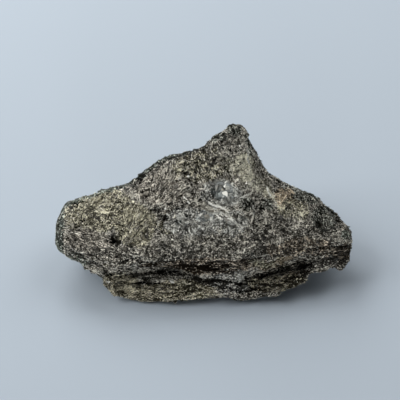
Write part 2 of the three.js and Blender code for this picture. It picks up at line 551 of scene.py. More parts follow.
def mesh_object(name, vertices, corners, face_sizes, material):
    """Puts arrays of vertices and face corners into a new mesh object in metres."""
    mesh = bpy.data.meshes.new(name)
    mesh.vertices.add(len(vertices))
    mesh.vertices.foreach_set("co", np.ascontiguousarray(vertices * MM, np.float32).ravel())
    mesh.loops.add(len(corners))
    mesh.loops.foreach_set("vertex_index", np.ascontiguousarray(corners, np.int32))
    mesh.polygons.add(len(face_sizes))
    starts = np.concatenate([[0], np.cumsum(face_sizes)[:-1]])
    mesh.polygons.foreach_set("loop_start", np.ascontiguousarray(starts, np.int32))
    mesh.update(calc_edges=True)
    mesh.shade_flat()
    mesh.materials.append(material)
    piece = bpy.data.objects.new(name, mesh)
    bpy.context.scene.collection.objects.link(piece)
    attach(piece, "root")
    return piece


def skin_vertices(grid):
    """The points of a grid of rings, with its first and last rings as single points at the end."""
    return np.concatenate([grid[1:-1].reshape(-1, 3), grid[:1, 0], grid[-1:, 0]])


def skin_object(name, grid, material):
    """Closes a grid of rings into one skin: quads between rings, and a fan at each end."""
    rings, around = grid.shape[0] - 2, grid.shape[1]
    index = np.arange(rings * around).reshape(rings, around)
    a, b = index[:-1], np.roll(index, -1, axis=1)[:-1]
    c, d = index[1:], np.roll(index, -1, axis=1)[1:]
    quads = np.stack([a, c, d, b], axis=-1).reshape(-1)
    first, last = index[0], index[-1]
    left, right = np.full(around, rings * around), np.full(around, rings * around + 1)
    left_fan = np.stack([left, first, np.roll(first, -1)], axis=-1).reshape(-1)
    right_fan = np.stack([right, np.roll(last, -1), last], axis=-1).reshape(-1)
    corners = np.concatenate([quads, left_fan, right_fan])
    sizes = np.concatenate([np.full(len(quads) // 4, 4), np.full(2 * around, 3)])
    return mesh_object(name, skin_vertices(grid), corners, sizes, material)


# ---------------------------------------------------------------------------------------------
# Colours of the mineral
# ---------------------------------------------------------------------------------------------

# Colour patches on the rock: palette, change of tone, middle, radii and strength. Later ones lie
# on top.
PATCHES = (
    ("olive", 0.08, (-35.9, -1.9, 23.7), (14.0, 9.0, 6.0), 0.85),
    ("olive", 0.15, (-23.3, -8.5, 22.2), (7.0, 9.0, 6.0), 0.8),
    ("olive", 0.04, (-11.1, -9.2, 22.2), (5.0, 3.0, 3.0), 0.6),
    ("mauve", 0.0, (-39.0, -12.0, 18.6), (10.0, 4.5, 3.0), 0.9),
    ("mauve", -0.02, (-15.0, 2.0, 29.9), (8.5, 8.0, 6.0), 0.85),
    ("grey", -0.07, (29.0, -9.0, 19.0), (18.0, 8.0, 7.0), 0.85),
    ("olive", 0.0, (-1.4, 7.4, 34.9), (10.0, 6.0, 6.0), 0.6),
    ("grey", 0.08, (9.0, 10.0, 39.5), (8.0, 6.0, 6.0), 0.7),
    ("silver", 0.12, (-3.0, -8.0, 23.2), (12.0, 6.0, 5.0), 0.9),
    ("silver", 0.11, (6.1, -0.3, 29.1), (7.5, 5.5, 4.5), 0.9),
    ("silver", 0.07, (10.0, -8.0, 23.2), (5.0, 5.0, 4.0), 0.8),
    ("plate", 0.0, (6.8, 0.4, 29.8), (4.2, 3.6, 3.2), 0.9),
    ("plate", -0.02, (0.9, -6.3, 25.0), (3.6, 2.8, 2.4), 0.85),
    ("plate", 0.02, (-8.0, -8.6, 23.2), (2.8, 1.6, 1.4), 0.8),
    ("beige", 0.14, (14.6, 6.8, 35.9), (3.4, 6.0, 6.0), 0.9),
    ("beige", 0.10, (10.4, 6.0, 36.0), (4.0, 3.5, 4.0), 0.7),
    ("beige", 0.10, (18.0, 3.0, 30.5), (4.5, 3.0, 4.0), 0.7),
    ("slate", -0.12, (6.1, 14.3, 42.1), (2.0, 2.0, 2.0), 0.8),
    ("slate", -0.14, (15.8, 13.0, 40.0), (1.8, 3.5, 5.0), 0.9),
    ("slate", -0.12, (14.5, -3.4, 26.6), (3.2, 2.8, 2.8), 0.9),
    ("slate", -0.10, (21.2, -1.7, 25.3), (2.2, 2.2, 2.2), 0.9),
    ("grey", -0.10, (24.0, -7.7, 21.2), (6.0, 4.0, 4.0), 0.7),
    ("rust", 0.2, (28.0, 1.6, 25.9), (4.4, 3.8, 3.2), 0.92),
    ("beige", 0.16, (22.0, 1.6, 28.0), (1.8, 2.4, 2.6), 0.9),
    ("olive", 0.0, (30.5, -1.8, 23.6), (6.5, 3.4, 3.2), 0.75),
    ("beige", 0.14, (32.8, -4.2, 22.4), (2.6, 1.6, 1.8), 0.85),
    ("slate", -0.20, (40.8, -3.0, 19.6), (4.8, 4.8, 3.4), 0.92),
    ("slate", -0.18, (35.0, 4.0, 23.8), (6.5, 3.6, 3.2), 0.9),
    ("slate", -0.18, (43.6, 2.2, 19.0), (5.0, 3.0, 3.0), 0.92),
    ("slate", -0.16, (31.0, 6.6, 26.0), (5.0, 2.0, 2.0), 0.85),
    ("slate", -0.14, (10.2, 15.4, 44.6), (3.4, 2.6, 1.9), 0.95),
    ("slate", -0.18, (5.0, 15.0, 41.0), (3.6, 2.4, 3.4), 0.9),
    ("brown", -0.06, (34.0, -13.6, 16.0), (15.0, 4.0, 3.0), 0.7),
    ("brown", -0.22, (47.5, -11.8, 12.6), (5.0, 4.0, 3.0), 0.95),
    ("rind", 0.0, (48.9, -6.0, 15.4), (2.6, 3.0, 2.0), 0.9),
    ("brown", -0.10, (2.0, -18.0, 12.2), (25.0, 3.5, 3.6), 0.9),
    ("mauve", 0.04, (-31.8, -17.7, 12.0), (6.0, 3.5, 3.2), 0.8),
    # The khaki ledge patches are lifted in tone partly as painted light, where the lamps leave the
    # ledge dim.
    ("khaki", 0.24, (-13.5, -22.0, 3.8), (20.0, 4.0, 4.2), 0.9),
    ("khaki", 0.20, (-27.0, -19.5, 6.0), (9.0, 3.0, 3.5), 0.85),
    ("silver", 0.06, (9.4, -20.5, 6.5), (7.5, 4.0, 4.5), 0.8),
    ("olive", 0.18, (-3.4, -23.2, 4.2), (3.5, 3.0, 2.4), 0.8),
    ("brown", -0.02, (27.0, -16.4, 9.0), (9.0, 3.0, 3.6), 0.9),
    ("olive", 0.12, (21.5, -15.2, 12.0), (7.0, 3.0, 2.2), 0.85),
    ("rust", 0.18, (27.4, -15.2, 12.2), (3.0, 2.4, 2.0), 0.8),
    ("khaki", -0.02, (26.3, -19.0, 4.8), (12.0, 4.0, 3.4), 0.8),
    ("slate", -0.12, (-21.2, 6.8, 30.4), (2.4, 2.4, 2.0), 0.95),
    ("rind", -0.06, (-44.1, -15.0, 12.4), (8.0, 2.5, 2.6), 0.7),
)

# A patch's oval is bent by noise of this size and height, and fades between two reaches, in radii.
PATCH_BEND_SIZE, PATCH_BEND = 5.0, 1.5
PATCH_EDGE = (0.88, 1.05)

# Broad lighter and darker places, partly the stone's own tone and partly painted light and shade
# where the lamps leave faces too dim or too bright: change of tone, middle and radii.
PAINTED_LIGHT_AND_TONE = (
    (0.44, (12.6, 6.2, 36.0), (3.6, 3.8, 4.0)),
    (0.60, (17.7, 3.4, 31.6), (3.6, 3.8, 4.0)),
    (0.30, (17.0, 8.5, 36.5), (3.0, 3.4, 3.4)),
    (-0.40, (-1.0, 12.9, 38.2), (7.0, 4.5, 4.5)),
    (-0.26, (-13.0, -16.8, 17.2), (15.0, 3.5, 3.4)),
    (-0.30, (-24.0, -18.5, 12.0), (5.0, 3.5, 3.0)),
    (-0.50, (-25.5, -18.4, 15.4), (3.2, 3.0, 2.6)),
    (-0.16, (20.0, -20.0, 4.5), (9.0, 4.0, 3.0)),
    (-0.20, (42.0, -14.2, 10.4), (5.0, 3.0, 3.0)),
    (-0.20, (-11.0, -18.5, 12.4), (9.0, 3.0, 3.0)),
    (-0.32, (23.0, -14.2, 17.5), (9.0, 3.0, 3.0)),
    (-0.45, (45.0, -12.6, 12.4), (6.0, 5.0, 5.0)),
    (0.44, (-31.5, -22.2, 4.3), (3.6, 3.4, 3.4)),
    (0.38, (-20.8, -21.6, 2.9), (4.4, 3.4, 3.4)),
    (0.38, (1.3, -23.3, 4.5), (3.6, 3.4, 3.4)),
    (0.26, (-19.6, -18.0, 6.0), (9.0, 3.4, 2.6)),
    (0.28, (12.2, -18.8, 7.7), (4.0, 3.4, 3.0)),
    (-0.20, (-4.6, -9.0, 23.0), (3.6, 3.6, 3.6)),
    (-0.24, (-5.6, -4.4, 26.2), (4.0, 2.6, 2.6)),
    (0.16, (1.3, -4.4, 26.2), (2.8, 2.6, 2.6)),
    (0.14, (-9.4, -1.2, 28.6), (3.0, 2.6, 2.6)),
    (0.14, (-14.8, -6.4, 25.6), (3.0, 2.6, 2.6)),
    (-0.24, (1.3, -1.3, 28.7), (3.2, 3.0, 3.0)),
    (-0.22, (-4.2, -14.2, 18.9), (3.2, 3.0, 3.0)),
    (-0.30, (1.3, 11.8, 38.8), (3.0, 3.0, 3.0)),
    (-0.20, (7.0, 14.6, 43.2), (3.0, 3.0, 2.4)),
    (0.12, (1.3, -9.9, 22.1), (3.0, 2.6, 2.6)),
    (0.26, (14.0, -9.6, 22.3), (5.0, 3.0, 3.0)),
    (0.14, (33.9, -8.4, 20.3), (3.4, 3.0, 3.0)),
    (-0.10, (23.1, 0.7, 26.7), (3.0, 3.0, 3.0)),
    (-0.18, (34.3, 3.3, 24.3), (3.8, 3.4, 3.4)),
    (0.08, (35.0, -2.9, 22.5), (3.0, 3.0, 3.0)),
    (0.10, (17.7, -0.9, 28.1), (3.0, 3.0, 3.0)),
    (0.20, (-38.5, -8.9, 21.0), (6.0, 3.0, 3.0)),
    (0.11, (-25.5, -9.7, 21.9), (3.4, 3.2, 3.2)),
    (0.18, (-37.1, 3.0, 24.5), (4.4, 3.4, 3.4)),
    (-0.28, (-24.5, 7.2, 28.2), (4.6, 4.0, 3.4)),
    (-0.26, (-14.8, 9.2, 33.5), (4.0, 3.4, 3.4)),
    (-0.22, (-23.0, 1.2, 26.6), (6.0, 3.0, 3.0)),
    (-0.10, (-14.8, 2.5, 29.5), (3.6, 3.4, 3.4)),
)

# For each palette: the share of needles that it keeps, how strongly their tones vary, and the
# tone of the skin between them, which is dark partly as the stone's own colour and partly as
# painted shade in the gaps between the needles.
TRAITS = {
    "grey": (1.0, 1.0, 0.26),
    "olive": (1.0, 1.1, 0.24),
    "silver": (0.9, 0.8, 0.40),
    "beige": (1.0, 0.8, 0.34),
    "rust": (1.0, 0.8, 0.36),
    "slate": (0.45, 0.8, 0.26),
    "brown": (1.0, 1.0, 0.25),
    "rind": (0.3, 0.7, 0.58),
    "khaki": (1.0, 1.0, 0.28),
    "mauve": (1.0, 1.0, 0.26),
    "plate": (0.16, 0.6, 0.60),
}
RIND_TONE = -0.15

# On the skin between the needles: size and tone of its spots, and how much darker a bare place
# is, a painted shade in the bare clefts, cracks and pits.
SKIN_SPOT_SIZE, SKIN_SPOT_TONE = 0.8, 0.15
BARE_CLEFT_SHADE = 0.2

# How much a hollow of a certain depth darkens, and the range of depths that counts, against it.
# This is painted shade in the hollows, and painted light on what stands proud.
RELIEF_SHADE_TONE, RELIEF_SHADE_DEPTH = 0.24, 0.8
RELIEF_SHADE_RANGE = (-1.2, 0.5)

# Seeds of the random draws: the rock body's, the first flakes' and the bright crystals'.
BODY_SEED = 100
FLAKES_SEED = 120
BRIGHT_SEED = 140


def palettes_at(points, weathered, names, rng):
    """The palette of each point, by its number among the names, and its change of tone.

    Each point draws its palette at random, with a patch's strength as the chance inside the
    patch's oval and less towards its edge, which broad noise bends. The rind comes last, where
    the chance of a weathered point allows it, and leaves the slate patches alone.
    """
    waves = [fractal(points / PATCH_BEND_SIZE, seed, 3) for seed in (83, 84, 85)]
    bent = points + PATCH_BEND * np.stack(waves, axis=-1)
    chosen = np.zeros(len(points), dtype=int)
    lift = np.zeros(len(points))
    for palette, raised, middle, radii, strength in PATCHES:
        reach = np.linalg.norm((bent - middle) / radii, axis=-1)
        chance = strength * (1.0 - smooth_step(reach, *PATCH_EDGE))
        taken = rng.random(len(points)) < chance
        chosen[taken] = names.index(palette)
        lift[taken] = raised
    worn = (rng.random(len(points)) < weathered) & (chosen != names.index("slate"))
    chosen[worn] = names.index("rind")
    lift[worn] = RIND_TONE
    return chosen, lift


def set_attributes(piece, tones, tints):
    """Keeps each vertex's tone and tint on the mesh as the attributes "tone" and "tint"."""
    tone = piece.data.attributes.new("tone", "FLOAT", "POINT")
    tone.data.foreach_set("value", np.ascontiguousarray(tones, np.float32))
    tint = piece.data.attributes.new("tint", "FLOAT_COLOR", "POINT")
    opaque = np.concatenate([tints, np.ones((len(tints), 1))], axis=1)
    tint.data.foreach_set("color", np.ascontiguousarray(opaque, np.float32).ravel())


def painted_light_and_tone_at(points):
    """The change of tone at each point, partly the stone's own and partly painted light and shade:
    the sum of the broad places, each a bell curve, whose height is its change, of the distance
    from its middle in radii."""
    total = np.zeros(points.shape[:-1])
    for change, middle, radii in PAINTED_LIGHT_AND_TONE:
        total += change * np.exp(-((((points - middle) / radii) ** 2).sum(axis=-1)))
    return total


def painted_relief_shade(heights):
    """Painted shade that darkens hollows, and painted light that slightly lightens what stands
    proud.
    """
    return RELIEF_SHADE_TONE * np.clip(heights / RELIEF_SHADE_DEPTH, *RELIEF_SHADE_RANGE)


# ---------------------------------------------------------------------------------------------
# Needle crystals
# ---------------------------------------------------------------------------------------------

# Sprays of needles that fan out from a point: start, end, half angle in degrees, and how much
# brighter their needles are.
SPRAYS = (
    ((1.4, -2.8, 27.5), (8.9, -5.7, 25.7), 7.0, 0.24),
    ((2.0, -4.0, 26.6), (11.4, -8.5, 23.5), 7.0, 0.18),
    ((7.6, -2.9, 27.0), (12.2, -3.8, 26.5), 24.0, 0.08),
    ((-49.5, -6.4, 19.3), (-33.8, -13.3, 18.3), 14.0, 0.06),
    ((-27.5, -14.6, 18.0), (-20.8, -4.0, 24.9), 26.0, 0.10),
    ((-45.5, -5.0, 21.6), (-37.5, 4.0, 24.3), 32.0, 0.05),
    ((-19.0, -4.0, 25.8), (-9.0, 5.5, 32.5), 34.0, 0.0),
    ((20.1, 4.6, 30.3), (26.4, -2.3, 23.9), 6.0, 0.26),
    ((12.0, -2.0, 28.0), (16.2, 0.6, 29.3), 9.0, 0.26),
    ((15.2, 11.8, 39.8), (14.8, 6.8, 36.2), 8.0, 0.24),
)

# Where a spray fades: at its sides, against the room between its axis and its edge, and at its
# end, against its length.
SPRAY_SIDES = (-0.25, 0.4)
SPRAY_END = (0.85, 1.1)

# Flat cleavage flakes: middle, radius of the place they lie in, number, length, width and tone.
# They lie on the skin within a certain depth of the middle.
FLAKE_DEPTH = 3.0
FLAKES = (
    ((6.6, 0.6, 30.0), 3.4, 200, 2.4, 1.8, 0.56),
    ((-7.6, -8.0, 23.3), 2.4, 40, 1.7, 1.2, 0.70),
    ((0.9, -6.3, 25.0), 2.6, 90, 1.9, 1.3, 0.60),
    ((-2.6, -9.2, 22.2), 2.0, 26, 1.5, 1.0, 0.70),
    ((8.8, -8.8, 22.4), 1.8, 22, 1.8, 1.2, 0.62),
)

# Bright crystals in rows: start and end of the row, how many, length, width and tone. A crystal
# points along its row, give or take an angle in radians, and is lifted so that it lies on top of
# the needles. Their white tone is a painted highlight, standing in for glints off cleavage faces.
BRIGHT_LIFT, BRIGHT_STRAY = 0.7, 0.12
# Their thickness against their width, and how far their lengths and widths may be off.
BRIGHT_THICKNESS = 0.15
BRIGHT_LENGTHS, BRIGHT_WIDTHS = (0.7, 1.2), (0.8, 1.2)
PAINTED_GLINT_ROWS = (
    ((7.3, -1.0, 29.4), (7.6, -1.2, 29.3), 9, 2.3, 2.3, 1.5),
    ((-6.4, -1.6, 28.4), (-4.8, -3.0, 27.4), 5, 1.0, 0.7, 1.1),
    ((2.2, -3.1, 27.3), (8.6, -5.6, 25.8), 12, 2.2, 0.55, 1.15),
    ((2.6, -4.2, 26.4), (6.6, -6.2, 25.0), 8, 1.8, 0.4, 0.95),
    ((6.9, -6.8, 24.8), (11.0, -8.3, 23.7), 9, 1.7, 0.5, 1.05),
    ((12.4, -2.0, 28.6), (15.0, -0.7, 29.3), 6, 1.6, 0.45, 0.95),
    ((21.4, 2.9, 28.8), (22.6, 0.4, 26.9), 6, 1.4, 0.6, 1.1),
    ((16.2, -2.6, 26.8), (16.9, -5.6, 24.8), 5, 1.5, 0.5, 0.74),
    ((15.0, 10.4, 39.0), (15.2, 7.4, 36.2), 8, 1.6, 0.6, 0.84),
    ((-5.6, 4.4, 32.8), (-5.4, 4.4, 32.8), 1, 1.0, 0.9, 1.0),
    ((-13.6, -4.7, 26.3), (-13.4, -4.7, 26.3), 1, 0.9, 0.8, 1.0),
    ((12.1, 10.8, 40.4), (12.3, 10.8, 40.4), 1, 1.0, 0.9, 0.95),
    ((-0.6, -10.2, 21.9), (-0.4, -10.2, 21.9), 1, 1.2, 1.1, 0.9),
    ((-6.2, -8.6, 23.4), (-5.0, -8.6, 23.4), 3, 1.6, 1.0, 0.80),
    ((-11.0, -18.7, 5.2), (-9.6, -18.9, 5.2), 3, 1.4, 0.9, 0.95),
    ((7.7, -18.7, 11.2), (7.9, -18.7, 11.2), 1, 0.9, 0.7, 0.95),
    ((-33.0, -19.2, 6.3), (-31.6, -19.4, 5.6), 3, 1.2, 0.8, 0.95),
)


def nearest_on_skin(skin, places):
    """The grid point of the skin nearest to each place, and its normal."""
    points = skin.points.reshape(-1, 3)
    nearest = [((points - place) ** 2).sum(axis=-1).argmin() for place in places]
    return points[nearest], skin.normals.reshape(-1, 3)[nearest]


@dataclass
class Coat:
    """What a coat of needles is like. Angles are in radians.

    The spread is how far needles stray from their bundle's direction, the tilt how far they
    stand up from the skin and the roll how far they lean to a side. Bedded runs from 0 to 1, for
    needles that all lie along the beds. The variety is how far single needles differ in tone.
    A coat may lie in the sprays only.
    """

    count: int
    length: float
    width: float
    spread: float = 0.7
    tilt: float = 0.2
    bedded: float = 0.0
    tone: float = 0.77
    variety: float = 0.52
    roll: float = 0.5
    finish: str = "amphibole needles"
    only_sprays: bool = False


# What all flakes have in common.
FLAT_COAT = Coat(0, 0.0, 0.0, tilt=0.02, roll=0.06, variety=0.05, finish="amphibole cleavage")

# The coats: name, stretch, seed and what each is like. Here its length and width are against
# those of the usual needle. Bare numbers are in the order of a coat's fields, from its count.
SPRAY_COAT = Coat(2400, 1.3, 0.7, spread=0.3, tone=0.72, variety=0.40, only_sprays=True)
PLATE_COAT = Coat(1500, 1.9, 1.7, tilt=0.1, tone=0.56, variety=0.24, finish="amphibole cleavage")
# The glints' bright tone is a painted highlight, standing in for sparkles of light off the
# crystals; their gloss is real.
GLINT_COAT = Coat(5000, 0.8, 0.62, tone=1.25, variety=0.2, finish="amphibole glints")
COATS = (
    ("face_grains", UPPER, 101, Coat(38000, 0.72, 0.62, 0.8, 0.14, 0.0, 0.82, 0.72)),
    ("face_fibres", UPPER, 102, Coat(11000, 1.7, 0.60, 0.35, 0.06, 0.0, 0.82, 0.64)),
    ("front_grains", FRONT, 103, Coat(20000, 1.0, 0.72, 0.4, 0.15, 0.9, 0.63, 0.72)),
    ("front_fibres", FRONT, 104, Coat(6000, 2.0, 0.55, 0.25, 0.08, 1.0, 0.65, 0.70)),
    ("back_grains", BACK, 105, Coat(40000, 1.0, 0.9, 0.7, 0.14, 0.0, 0.60, 0.40)),
    ("under_grains", UNDER, 106, Coat(16000, 1.1, 1.1, 0.9, 0.1, 0.4, 0.62, 0.40)),
    ("spray_needles", UPPER, 108, SPRAY_COAT),
    ("face_plates", UPPER, 111, PLATE_COAT),
    ("glints", FRONT_AND_UPPER, 109, GLINT_COAT),
)

# How strongly needles turn along layers that are seen edge-on, and how much their surface has to
# cut across the layers for it, from 0 to 1.
TURN_ALONG = 0.85
TURN_RANGE = (0.15, 0.6)
# Bedded needles run to the left end, this strongly.
BEDDED_PULL = np.array((2.0, 0.0, 0.0))

# Size of a bundle of needles, of the streaks of tone along it and across it, and of a clump.
BUNDLE_SIZE = 1.8
STREAK_LENGTH, STREAK_WIDTH = 1.0, 0.4
CLUMP_SIZE = 0.9

# How far the lengths and widths of needles vary, and how far both vary together with the place,
# as powers of e. A needle's thickness against its width lies between two limits.
LENGTH_VARIETY, WIDTH_VARIETY, SCALE_VARIETY = 0.40, 0.30, 0.45
THINNEST, THICKEST = 0.1, 0.3

# How far the parts of a needle's tone change it: streaks along the bundle, clumps, spots of a
# few millimetres, broad patches, and bands along the beds.
STREAK_TONE, CLUMP_TONE, SPOT_TONE, PATCH_TONE, BAND_TONE = 0.22, 0.16, 0.16, 0.14, 0.40

# A sliver's foot lies this far below the skin, against its height, and up to this far from its
# middle, against its length.
FOOT_DEPTH, FOOT_SHIFT = 0.3, 0.2
# The corners of a sliver's faces: the ends of its ridge are 0 and 1, and of its foot 2 and 3.
SLIVER_FACES = np.array(((0, 1, 3), (1, 0, 2), (0, 3, 2), (1, 2, 3)))

# The share of needles that a wholly bare place goes without.
BARE_LOSS = 0.95


def scatter(skin, columns, count, weight, rng):
    """Random places on a stretch of the skin, as many to each square millimetre.

    Cells are drawn in proportion to their area times the weight. Gives the row and column of
    each place's cell, and the point itself, which lies anywhere in the cell.
    """
    first, last = columns
    share = (skin.area * weight)[:-1, first:last].ravel()
    cell = rng.choice(share.size, size=count, p=share / share.sum())
    row, column = np.divmod(cell, last - first)
    column = column + first
    beside = (column + 1) % skin.points.shape[1]
    here = skin.points[row, column]
    along = (skin.points[row + 1, column] - here) * rng.random((count, 1))
    across = (skin.points[row, beside] - here) * rng.random((count, 1))
    return row, column, here + along + across


def lie_of_needles(points, normals, coat, rng):
    """Direction of each needle in the skin, and a random tone that streaks along the needles.

    Where the layers are seen edge-on, or the coat is bedded, the needles run along them.
    Elsewhere each bundle, one of the random shares of space, has its own direction. A needle
    strays from its bundle by a random angle. The tone is the bundle's own random part plus noise
    on the place inside the bundle, stretched along its direction.
    """
    owner, way = nearest_centre(points / BUNDLE_SIZE, 81)
    angle = math.pi * lattice_value(owner, 91)
    edge_on = 1.0 - np.abs(normals @ LAYER_NORMAL)
    angle *= 1.0 - np.maximum(TURN_ALONG * smooth_step(edge_on, *TURN_RANGE), coat.bedded)
    # The small push keeps the direction from vanishing where the skin lies along the layers.
    level = np.cross(normals, LAYER_NORMAL) + 0.02 - coat.bedded * BEDDED_PULL
    level = flatten(level, normals)
    along = turned(level, normals, angle)
    across = turned(level, normals, angle + math.pi / 2.0)
    run, step = [(way * axis).sum(axis=-1) * BUNDLE_SIZE for axis in (along, across)]
    height = 50.0 * lattice_value(owner, 92)
    spot = np.stack([run / STREAK_LENGTH, step / STREAK_WIDTH, height], axis=-1)
    stray = coat.spread * rng.standard_normal(len(points))
    return turned(level, normals, angle + stray), noise(spot, 93) + 0.7 * lattice_value(owner, 94)


def turned(directions, normals, angle):
    """The directions turned about the normals by an angle each."""
    side = np.cross(normals, directions)
    return directions * np.cos(angle)[:, None] + side * np.sin(angle)[:, None]


def flatten(vectors, normals):
    """The vectors turned into the plane across their normals, at length one."""
    return unit(vectors - normals * (vectors * normals).sum(axis=-1, keepdims=True))


def sprays_at(points, normals):
    """The spray that each point lies in: its direction there, which is away from its start, how
    far inside the point is, from 0 to 1, and the brightness it gets. Angles are measured in the
    plane of the skin."""
    toward = np.zeros_like(points)
    inside = np.zeros(points.shape[:-1])
    bright = np.zeros(points.shape[:-1])
    for start, end, half_angle, brightness in SPRAYS:
        axis = np.subtract(end, start)
        way = points - start
        away = flatten(way, normals)
        cosine = (away * flatten(np.broadcast_to(axis, way.shape), normals)).sum(axis=-1)
        edge = math.cos(math.radians(half_angle))
        share = smooth_step(cosine, *(edge + side * (1.0 - edge) for side in SPRAY_SIDES))
        reach = np.linalg.norm(way, axis=-1) / np.linalg.norm(axis)
        share *= 1.0 - smooth_step(reach, *SPRAY_END)
        toward = np.where((share > inside)[..., None], away, toward)
        inside = np.maximum(inside, share)
        bright = np.maximum(bright, brightness * share)
    return toward, inside, bright


def slivers(middles, directions, normals, sizes, rng):
    """Splinters of crystal, each a four-sided solid with four corners.

    Two corners are the ends of its ridge, which runs along its direction at its height above the
    middle. The other two are the ends of a foot that lies across it, a little below the skin and
    somewhat off the middle.
    """
    length, width, height = (size[:, None] for size in sizes)
    side = np.cross(normals, directions)
    ridge = middles + height * normals
    half = 0.5 * length * directions
    shift = length * rng.uniform(-FOOT_SHIFT, FOOT_SHIFT, (len(middles), 1)) * directions
    foot = middles - FOOT_DEPTH * height * normals + shift
    flank = 0.5 * width * side
    return np.stack([ridge - half, ridge + half, foot - flank, foot + flank], axis=1)


def slivers_object(name, corners, tones, tints, material):
    """Joins the slivers into one mesh, each with its own tone and tint."""
    count, each = corners.shape[:2]
    index = np.arange(count)[:, None, None] * each + SLIVER_FACES
    sizes = np.full(count * len(SLIVER_FACES), 3)
    corners = corners.reshape(-1, 3)
    corners[:, 2] = np.maximum(corners[:, 2], 0.0)
    piece = mesh_object(name, corners, index.ravel(), sizes, material)
    set_attributes(piece, np.repeat(tones, each), np.repeat(tints, each, axis=0))
    return piece


def needle_frames(points, normals, coat, rng):
    """How each needle lies: its direction, the direction its ridge faces, the brightness that
    its spray gives it and the streak of tone it is in.

    Its lie in the skin is turned to the spray's direction the deeper it is inside the spray. It
    then tilts up out of the skin and rolls about itself, both by random angles.
    """
    directions, streaks = lie_of_needles(points, normals, coat, rng)
    toward, inside, bright = sprays_at(points, normals)
    facing = np.where((directions * toward).sum(axis=-1) < 0.0, -1.0, 1.0) * (1.0 - inside)
    directions = facing[:, None] * directions + 2.5 * inside[:, None] * toward
    tilt = rng.normal(0.0, coat.tilt, len(points)) * (1.0 - 2.0 * np.minimum(bright, 0.4))
    directions = unit(flatten(directions, normals) + tilt[:, None] * normals)
    roll = rng.normal(0.0, coat.roll, len(points))[:, None]
    up = flatten(normals + roll * np.cross(normals, directions), directions)
    return directions, up, bright, streaks


def needle_sizes(points, coat, bright, longest, rng):
    """Length, width and thickness of each needle: the coat's own times e to a normal random
    power. Noise makes neighbours large or small together, needles in bright sprays are longer,
    and none is longer than the skin's curve allows."""
    scale = np.exp(SCALE_VARIETY * noise(points / 3.6, 103))
    length = coat.length * np.exp(LENGTH_VARIETY * rng.standard_normal(len(points)))
    length = np.minimum(length * (1.0 + 2.0 * bright) * scale, longest)
    width = coat.width * scale * np.exp(WIDTH_VARIETY * rng.standard_normal(len(points)))
    return length, width, width * rng.uniform(THINNEST, THICKEST, len(points))


def tone_changes(points, strata, height, streaks, coat, rng):
    """The changes of each needle's tone, summed: streaks along its bundle, clumps, spots and
    patches of noise, bands along the beds in a bedded coat, a random part of its own, which is
    stronger in some zones, painted shade in the hollow or painted light on the rise that it lies
    on, and the broad places of the stone's own tone and of painted light and shade."""
    zone = noise(points / 5.0, 102)
    clumps = lattice_value(nearest_centre(points / CLUMP_SIZE, 86)[0], 96)
    tones = STREAK_TONE * streaks + CLUMP_TONE * clumps + SPOT_TONE * noise(points / 2.4, 97)
    tones += PATCH_TONE * fractal(points / 7.0, 100, 2)
    bands = noise(strata / (7.0, 3.6, 1.0), 98) + noise(strata / (3.5, 1.8, 1.0), 99)
    tones += BAND_TONE * coat.bedded * bands
    tones += coat.variety * (1.0 + 0.5 * zone) * rng.standard_normal(len(points))
    return tones + (painted_relief_shade(height) + painted_light_and_tone_at(points))


def needle_coat(name, skin, columns, coat, colors, seed, weight=1.0):
    """One coat of needles over a stretch of the skin, in proportion to the weight, except where
    the skin is bare. A palette keeps only its share of them.

    A needle's tone is the sum of the coat's own, those of its patch and its spray, and the
    changes of tone times its palette's strength.
    """
    rng = np.random.default_rng(seed)
    open_skin = weight * (1.0 - BARE_LOSS * skin.bare)
    row, column, points = scatter(skin, columns, coat.count, open_skin, rng)
    palette, lift = palettes_at(points, skin.weathered[row, column], list(colors), rng)
    share, contrast, _ = np.array([TRAITS[color] for color in colors]).T
    kept = rng.random(len(points)) < share[palette]
    row, column, points, palette, lift = (
        values[kept] for values in (row, column, points, palette, lift)
    )
    directions, up, bright, streaks = needle_frames(points, skin.normals[row, column], coat, rng)
    sizes = needle_sizes(points, coat, bright, skin.longest[row, column], rng)
    corners = slivers(points, directions, up, sizes, rng)
    strata, height = skin.strata[row, column], skin.height[row, column]
    changes = tone_changes(points, strata, height, streaks, coat, rng)
    tones = np.clip(coat.tone + lift + bright + contrast[palette] * changes, 0.0, 1.0)
    tints = np.array(list(colors.values()))[palette]
    return slivers_object(name, corners, tones, tints, stone_material(coat.finish))


# ---------------------------------------------------------------------------------------------
# Materials
# ---------------------------------------------------------------------------------------------

# Lightness at the tones 0 and 1, and the power of the tint that the darkest tone has.
DARKEST, BRIGHTEST = 0.012, 0.95
DEEPENING = 2.8
GRIT_DETAIL = 2.0
# Height in metres and strength of the bump that the grit makes.
BUMP_HEIGHT, BUMP_STRENGTH = 0.0001, 0.7

# Finishes of the stone: size and strength of the grit, roughness at the darkest tone and at the
# brightest, and shine.
FINISHES = {
    "rock body": (1800.0, 0.6, (0.8, 0.6), 0.1),
    "amphibole needles": (2800.0, 2.2, (0.5, 0.3), 0.4),
    "amphibole cleavage": (1400.0, 0.6, (0.45, 0.3), 0.4),
    "amphibole glints": (2800.0, 0.5, (0.3, 0.14), 1.0),
}


def add_node(tree, kind, place, **values):
    """Adds a node to a tree at a place on the sheet and sets its properties."""
    node = tree.nodes.new(kind)
    node.location = (place[0] * 200, place[1] * -200)
    for name, value in values.items():
        setattr(node, name, value)
    return node


